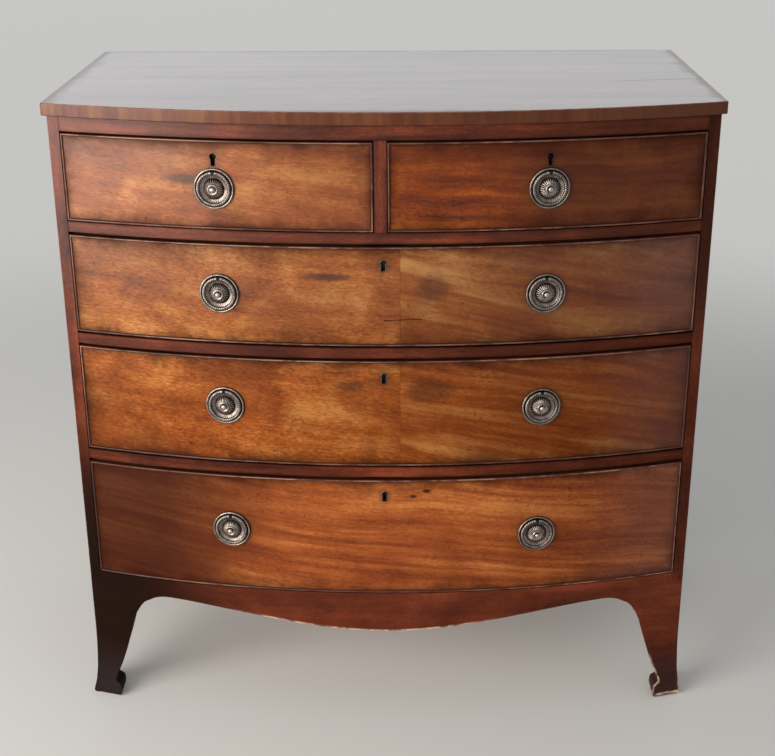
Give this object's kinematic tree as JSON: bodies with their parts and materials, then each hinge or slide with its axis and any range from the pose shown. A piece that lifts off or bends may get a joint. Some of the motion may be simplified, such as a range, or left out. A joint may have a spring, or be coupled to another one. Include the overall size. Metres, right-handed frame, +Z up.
{
  "type": "chest of drawers",
  "caption": "Bow-fronted mahogany chest of drawers on splayed bracket feet, with a serpentine apron, cockbeaded locking drawers and round brass ring pulls.",
  "frame": {"origin": "middle of the footprint, on the floor", "axes": "+Z up; -Y is the bowed front with the drawers; +X is to the right of a person who faces the front"},
  "size_m": [1.02, 0.56, 1.03],
  "materials": {
    "veneer": "french polished mahogany veneer",
    "carcase": "dark polished mahogany",
    "bead": "worn polished mahogany edge",
    "lining": "bare oak and pine, waxed by use",
    "backing": "bare aged pine",
    "pull_brass": "stamped brass, tarnished in the hollows",
    "lock": "dull brass and iron"
  },
  "bodies": {
    "carcase": {"top_board": "carcase", "side_left": "carcase", "side_right": "carcase", "back_panel": "backing", "top_rail": "carcase", "centre_divider": "carcase", "rail_upper": "carcase", "rail_middle": "carcase", "rail_lower": "carcase", "bottom_board_apron": "carcase", "foot_front_left": "carcase", "foot_front_right": "carcase", "foot_back_left": "carcase", "foot_back_right": "carcase"},
    "drawer_short_left_bolt": {"drawer_short_left_lock_bolt": "lock"},
    "drawer_short_left_pull_ring": {"drawer_short_left_pull_ring": "pull_brass"},
    "drawer_short_left": {"drawer_short_left_front": "veneer", "drawer_short_left_cockbead": "bead", "drawer_short_left_lining": "lining", "drawer_short_left_bottom": "lining", "drawer_short_left_lock": "lock", "drawer_short_left_pull_plate": "pull_brass"},
    "drawer_short_right_bolt": {"drawer_short_right_lock_bolt": "lock"},
    "drawer_short_right_pull_ring": {"drawer_short_right_pull_ring": "pull_brass"},
    "drawer_short_right": {"drawer_short_right_front": "veneer", "drawer_short_right_cockbead": "bead", "drawer_short_right_lining": "lining", "drawer_short_right_bottom": "lining", "drawer_short_right_lock": "lock", "drawer_short_right_pull_plate": "pull_brass"},
    "drawer_upper_bolt": {"drawer_upper_lock_bolt": "lock"},
    "drawer_upper_left_pull_ring": {"drawer_upper_left_pull_ring": "pull_brass"},
    "drawer_upper_right_pull_ring": {"drawer_upper_right_pull_ring": "pull_brass"},
    "drawer_upper": {"drawer_upper_front": "veneer", "drawer_upper_cockbead": "bead", "drawer_upper_lining": "lining", "drawer_upper_bottom": "lining", "drawer_upper_lock": "lock", "drawer_upper_left_pull_plate": "pull_brass", "drawer_upper_right_pull_plate": "pull_brass"},
    "drawer_middle_bolt": {"drawer_middle_lock_bolt": "lock"},
    "drawer_middle_left_pull_ring": {"drawer_middle_left_pull_ring": "pull_brass"},
    "drawer_middle_right_pull_ring": {"drawer_middle_right_pull_ring": "pull_brass"},
    "drawer_middle": {"drawer_middle_front": "veneer", "drawer_middle_cockbead": "bead", "drawer_middle_lining": "lining", "drawer_middle_bottom": "lining", "drawer_middle_lock": "lock", "drawer_middle_left_pull_plate": "pull_brass", "drawer_middle_right_pull_plate": "pull_brass"},
    "drawer_bottom_bolt": {"drawer_bottom_lock_bolt": "lock"},
    "drawer_bottom_left_pull_ring": {"drawer_bottom_left_pull_ring": "pull_brass"},
    "drawer_bottom_right_pull_ring": {"drawer_bottom_right_pull_ring": "pull_brass"},
    "drawer_bottom": {"drawer_bottom_front": "veneer", "drawer_bottom_cockbead": "bead", "drawer_bottom_lining": "lining", "drawer_bottom_bottom": "lining", "drawer_bottom_lock": "lock", "drawer_bottom_left_pull_plate": "pull_brass", "drawer_bottom_right_pull_plate": "pull_brass"}
  },
  "joints": [
    {"name": "drawer_short_left_slide", "type": "slide", "parent": "carcase", "child": "drawer_short_left", "axis": [0, -1, 0], "range_m": [0, 0.33]},
    {"name": "drawer_short_left_bolt_throw", "type": "slide", "parent": "drawer_short_left", "child": "drawer_short_left_bolt", "axis": [0, 0, 1], "range_m": [0, 0.009]},
    {"name": "drawer_short_left_pull_ring_hinge", "type": "hinge", "parent": "drawer_short_left", "child": "drawer_short_left_pull_ring", "pos_m": [-0.24866, -0.25908, 0.93755], "axis": [-0.9891, 0.1474, 0], "range_deg": [0, 95]},
    {"name": "drawer_short_right_slide", "type": "slide", "parent": "carcase", "child": "drawer_short_right", "axis": [0, -1, 0], "range_m": [0, 0.33]},
    {"name": "drawer_short_right_bolt_throw", "type": "slide", "parent": "drawer_short_right", "child": "drawer_short_right_bolt", "axis": [0, 0, 1], "range_m": [0, 0.009]},
    {"name": "drawer_short_right_pull_ring_hinge", "type": "hinge", "parent": "drawer_short_right", "child": "drawer_short_right_pull_ring", "pos_m": [0.24465, -0.25967, 0.93755], "axis": [-0.9894, -0.145, 0], "range_deg": [0, 95]},
    {"name": "drawer_upper_slide", "type": "slide", "parent": "carcase", "child": "drawer_upper", "axis": [0, -1, 0], "range_m": [0, 0.33]},
    {"name": "drawer_upper_bolt_throw", "type": "slide", "parent": "drawer_upper", "child": "drawer_upper_bolt", "axis": [0, 0, 1], "range_m": [0, 0.009]},
    {"name": "drawer_upper_left_pull_ring_hinge", "type": "hinge", "parent": "drawer_upper", "child": "drawer_upper_left_pull_ring", "pos_m": [-0.24866, -0.25908, 0.7759], "axis": [-0.9891, 0.1474, 0], "range_deg": [0, 95]},
    {"name": "drawer_upper_right_pull_ring_hinge", "type": "hinge", "parent": "drawer_upper", "child": "drawer_upper_right_pull_ring", "pos_m": [0.24465, -0.25967, 0.7759], "axis": [-0.9894, -0.145, 0], "range_deg": [0, 95]},
    {"name": "drawer_middle_slide", "type": "slide", "parent": "carcase", "child": "drawer_middle", "axis": [0, -1, 0], "range_m": [0, 0.33]},
    {"name": "drawer_middle_bolt_throw", "type": "slide", "parent": "drawer_middle", "child": "drawer_middle_bolt", "axis": [0, 0, 1], "range_m": [0, 0.009]},
    {"name": "drawer_middle_left_pull_ring_hinge", "type": "hinge", "parent": "drawer_middle", "child": "drawer_middle_left_pull_ring", "pos_m": [-0.24866, -0.25908, 0.59215], "axis": [-0.9891, 0.1474, 0], "range_deg": [0, 95]},
    {"name": "drawer_middle_right_pull_ring_hinge", "type": "hinge", "parent": "drawer_middle", "child": "drawer_middle_right_pull_ring", "pos_m": [0.24465, -0.25967, 0.59015], "axis": [-0.9894, -0.145, 0], "range_deg": [0, 95]},
    {"name": "drawer_bottom_slide", "type": "slide", "parent": "carcase", "child": "drawer_bottom", "axis": [0, -1, 0], "range_m": [0, 0.33]},
    {"name": "drawer_bottom_bolt_throw", "type": "slide", "parent": "drawer_bottom", "child": "drawer_bottom_bolt", "axis": [0, 0, 1], "range_m": [0, 0.009]},
    {"name": "drawer_bottom_left_pull_ring_hinge", "type": "hinge", "parent": "drawer_bottom", "child": "drawer_bottom_left_pull_ring", "pos_m": [-0.24866, -0.25908, 0.37455], "axis": [-0.9891, 0.1474, 0], "range_deg": [0, 95]},
    {"name": "drawer_bottom_right_pull_ring_hinge", "type": "hinge", "parent": "drawer_bottom", "child": "drawer_bottom_right_pull_ring", "pos_m": [0.24465, -0.25967, 0.36755], "axis": [-0.9894, -0.145, 0], "range_deg": [0, 95]}
  ]
}
